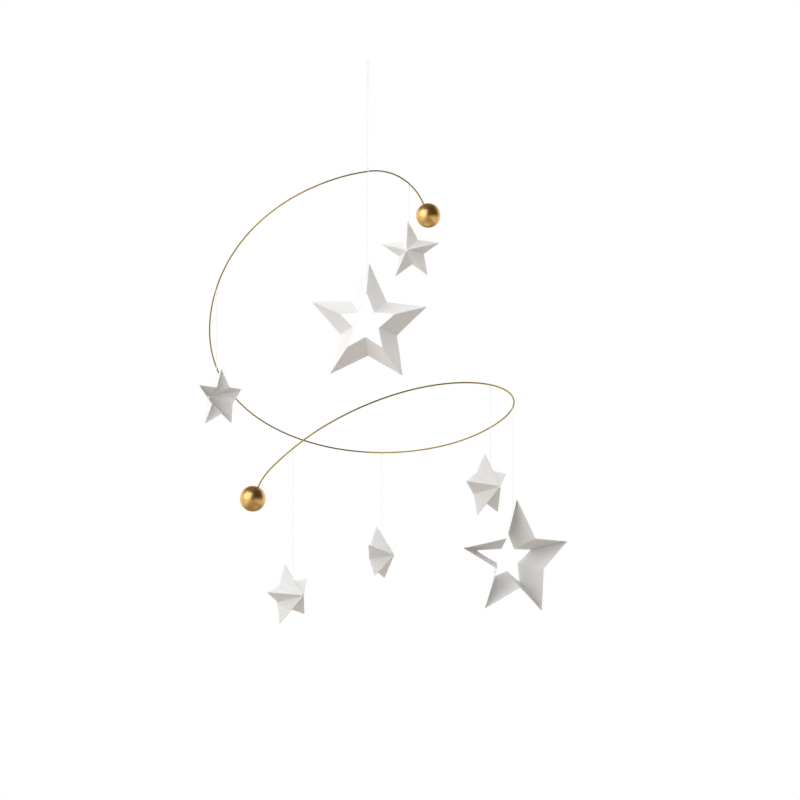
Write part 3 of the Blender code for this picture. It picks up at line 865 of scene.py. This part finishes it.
def facet_grid(star, arm, before, chance):
    """Rows of points over a facet's outer face, from the window outwards, each with its key."""
    notch = (arm - 1) % ARMS if before else arm
    normal = star.bent_normal(arm, before)
    ridge_way, ridge_slope = fold_way(star.bent_normal(arm, False), star.bent_normal(arm, True))
    valley_way, valley_slope = fold_way(star.bent_normal(notch, False),
                                        star.bent_normal((notch + 1) % ARMS, True))
    bow = chance.uniform(LEAST_BOW, MOST_BOW) * BOW_SHARE[star.blank]
    phase = chance.uniform(0.0, TURN)
    rows = FACET_ROWS[star.blank]
    grid = []
    for row in range(rows + 1):
        along = row / rows
        on_ridge = star.window_tips[arm].lerp(star.tips[arm], along)
        on_valley = star.window_notches[notch].lerp(star.notches[notch], along)
        width = (on_valley - on_ridge).length
        soft = min(FOLD_SOFTNESS[star.blank], width / FOLDS_IN_WIDTH)
        swing = math.sin(math.pi * along * BOW_HALF_WAVES + phase)
        places = across_facet(width, soft, FACET_COLUMNS[star.blank])
        line = []
        for column, place in enumerate(places):
            share = place / width
            swell = bow * 4.0 * share * (1.0 - share) * swing
            point = on_ridge.lerp(on_valley, share)
            point = point - ridge_way * soft_fold(place, soft, ridge_slope)
            point = point + valley_way * soft_fold(width - place, soft, valley_slope)
            point = point + normal * swell * min(1.0, width / FULL_BOW_WIDTH)
            if column == 0:
                key = ("ridge", arm, row)
            elif column == len(places) - 1:
                key = ("valley", notch, row)
            else:
                key = ("facet", arm, before, row, column)
            line.append((key, point))
        grid.append(line)
    return grid


def card_star(name, seed):
    """Folded card star: flat facets with a faint bow, rounded scored folds and cut edges."""
    star = FoldedStar(name)
    chance = random.Random(seed)
    solid = bmesh.new()
    made = {}

    def vertex(key, point):
        if key not in made:
            made[key] = solid.verts.new(point - star.hole)
        return made[key]

    edges = []
    for arm in range(ARMS):
        for before in (False, True):
            grid = facet_grid(star, arm, before, chance)
            sheets = []
            for side, offset in (("front", Vector()), ("back", star.through)):
                sheet = [[vertex((side,) + key, point + offset) for key, point in line]
                         for line in grid]
                for near, far in zip(sheet, sheet[1:]):
                    for k in range(len(near) - 1):
                        solid.faces.new((near[k], near[k + 1], far[k + 1], far[k]))
                sheets.append(sheet)
            front, back = sheets
            edges += [(front[0], back[0]), (front[-1], back[-1])]
    for front, back in edges:
        for k in range(len(front) - 1):
            solid.faces.new((front[k], front[k + 1], back[k + 1], back[k]))
    bmesh.ops.recalc_face_normals(solid, faces=solid.faces)
    hole = joint_place(name + "_turn")
    solid.transform(Matrix.Translation(hole) @ Matrix.Rotation(star.facing, 4, "Z")
                    @ star.hang.to_4x4())
    card = finish_mesh(name + "_card", solid, sharp_angle=CARD_SHARP_ANGLE)
    pierce(card, hole)
    dress(card, CARD, name)
    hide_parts(name)


def pierce(card, hole):
    """Cut the upright thread hole and apply the cut."""
    cutter = bmesh.new()
    bmesh.ops.create_cone(cutter, cap_ends=True, segments=THREAD_HOLE_SIDES,
                          radius1=THREAD_HOLE_DIAMETER / 2, radius2=THREAD_HOLE_DIAMETER / 2,
                          depth=THREAD_HOLE_CUT)
    cutter.transform(Matrix.Translation(hole))
    tool = finish_mesh("thread_hole_tool", cutter, smooth=False)
    cut = card.modifiers.new("thread_hole", "BOOLEAN")
    cut.operation = "DIFFERENCE"
    cut.object = tool
    bpy.context.view_layer.update()
    evaluated = card.evaluated_get(bpy.context.evaluated_depsgraph_get())
    mesh = bpy.data.meshes.new_from_object(evaluated)
    card.modifiers.clear()
    card.data = mesh
    bpy.data.objects.remove(tool)


# Floor, world and lamps

def add_floor():
    """Pale floor far below, which keeps the shadow and fades to the white background far away. What it
    throws back and what metal mirrors in it are painted darker.
    """
    solid = bmesh.new()
    bmesh.ops.create_circle(solid, cap_ends=True, segments=FLOOR_SEGMENTS, radius=FLOOR_RADIUS)
    solid.transform(Matrix.Translation((0.0, 0.0, FLOOR_HEIGHT)))
    floor = finish_mesh("pale_floor", solid, smooth=False)
    material, tree, shader = new_material("pale_floor")
    place = tree.object_place()
    sides = tree.sides(place)
    path = tree.add("ShaderNodeLightPath").outputs
    # Painted shade and painted reflection: light the floor throws back and what metal mirrors in it
    # get a darker tone than the camera sees, paler behind for thrown light and beside the mobile for
    # mirrors
    painted_pale_behind = tree.product(path["Is Diffuse Ray"], tree.step(tree.lean(sides), FLOOR_PAINTED_PALE_BEHIND))
    painted_pale_aside = tree.product(path["Is Glossy Ray"],
                              tree.step(tree.calculate("ABSOLUTE", sides["X"]), FLOOR_PAINTED_PALE_ASIDE))
    painted_tone = tree.ramp(tree.larger(painted_pale_behind, painted_pale_aside), (0.0, FLOOR_PAINTED_DARK), (1.0, FLOOR_PAINTED_PALE))
    tree.feed(shader, {"Roughness": FLOOR_ROUGHNESS,
                       "Base Color": tree.blend(path["Is Camera Ray"], painted_tone, FLOOR_COLOUR)})
    distance = tree.add("ShaderNodeVectorMath", {0: place}, operation="LENGTH").outputs["Value"]
    mirrored = tree.product(path["Is Glossy Ray"], tree.step(sides["Y"], FLOOR_MIRRORED_BEHIND))
    seen = tree.larger(path["Is Camera Ray"], mirrored)
    share = tree.product(tree.step(distance, FLOOR_FADE), seen)
    white = tree.add("ShaderNodeEmission").outputs["Emission"]
    tree.feed(tree.nodes["Material Output"],
              {"Surface": tree.mix(share, shader.outputs["BSDF"], white)})
    floor.data.materials.append(material)


def add_world():
    """White studio with a dark room in front. The light comes from the white behind and beside."""
    world = bpy.data.worlds.new("studio")
    bpy.context.scene.world = world
    tree = NodeTree(world)
    sides = tree.sides(tree.add("ShaderNodeTexCoord").outputs["Generated"])
    path = tree.add("ShaderNodeLightPath").outputs
    lit = tree.nodes["Background"]
    tree.feed(lit, {"Color": WHITE,
                    "Strength": tree.step(sides["Y"], ROOM_LIT_BEHIND, ROOM_DARK, ROOM_LIGHT)})
    behind = tree.step(tree.lean(sides), ROOM_PALE_BEHIND)
    under_ceiling = tree.step(sides["Z"], CEILING_RISE, 1.0, CEILING_SHARE)
    clear = tree.larger(path["Is Camera Ray"], path["Is Transmission Ray"])
    pale = tree.larger(clear, tree.product(behind, under_ceiling))
    seen = tree.add("ShaderNodeBackground",
                    {"Color": tree.ramp(pale, (0.0, ROOM_BROWN), (1.0, WHITE))})
    share = tree.larger(clear, path["Is Glossy Ray"])
    tree.feed(tree.nodes["World Output"],
              {"Surface": tree.mix(share, lit.outputs["Background"], seen.outputs["Background"])})


def add_lamp(name, place, size, power, colour, mirrored):
    """Soft square lamp that faces the middle of the mobile."""
    data = bpy.data.lights.new(name, "AREA")
    data.shape = "SQUARE"
    data.size = size
    data.energy = power
    data.color = colour
    lamp = new_object(name, data)
    lamp.location = place
    lamp.rotation_euler = (MOBILE_MIDDLE - place).to_track_quat("-Z", "Y").to_euler()
    lamp.visible_glossy = mirrored


# The mobile and its studio. The camera and the cords come first

CARD = card_material()
BRASS = brass_material()
GOLD = gold_material()
THREAD = thread_material()

add_camera()
hanger_threads()
for star_name, thread_seed in STAR_THREAD_SEEDS.items():
    star_threads(star_name, thread_seed)
wire_points, upper_way, lower_way = wire_line()
bent_wire(wire_points, upper_way, lower_way)
gilded_ball("upper_gilded_ball", "upper_ball", wire_points[0], upper_way)
gilded_ball("lower_gilded_ball", "lower_ball", wire_points[-1], lower_way)
for star_name, card_seed in STAR_CARD_SEEDS.items():
    card_star(star_name, card_seed)
add_floor()
add_world()
for lamp_name, lamp_values in LAMPS.items():
    add_lamp(lamp_name, *lamp_values)

bpy.context.scene.view_settings.view_transform = "Standard"
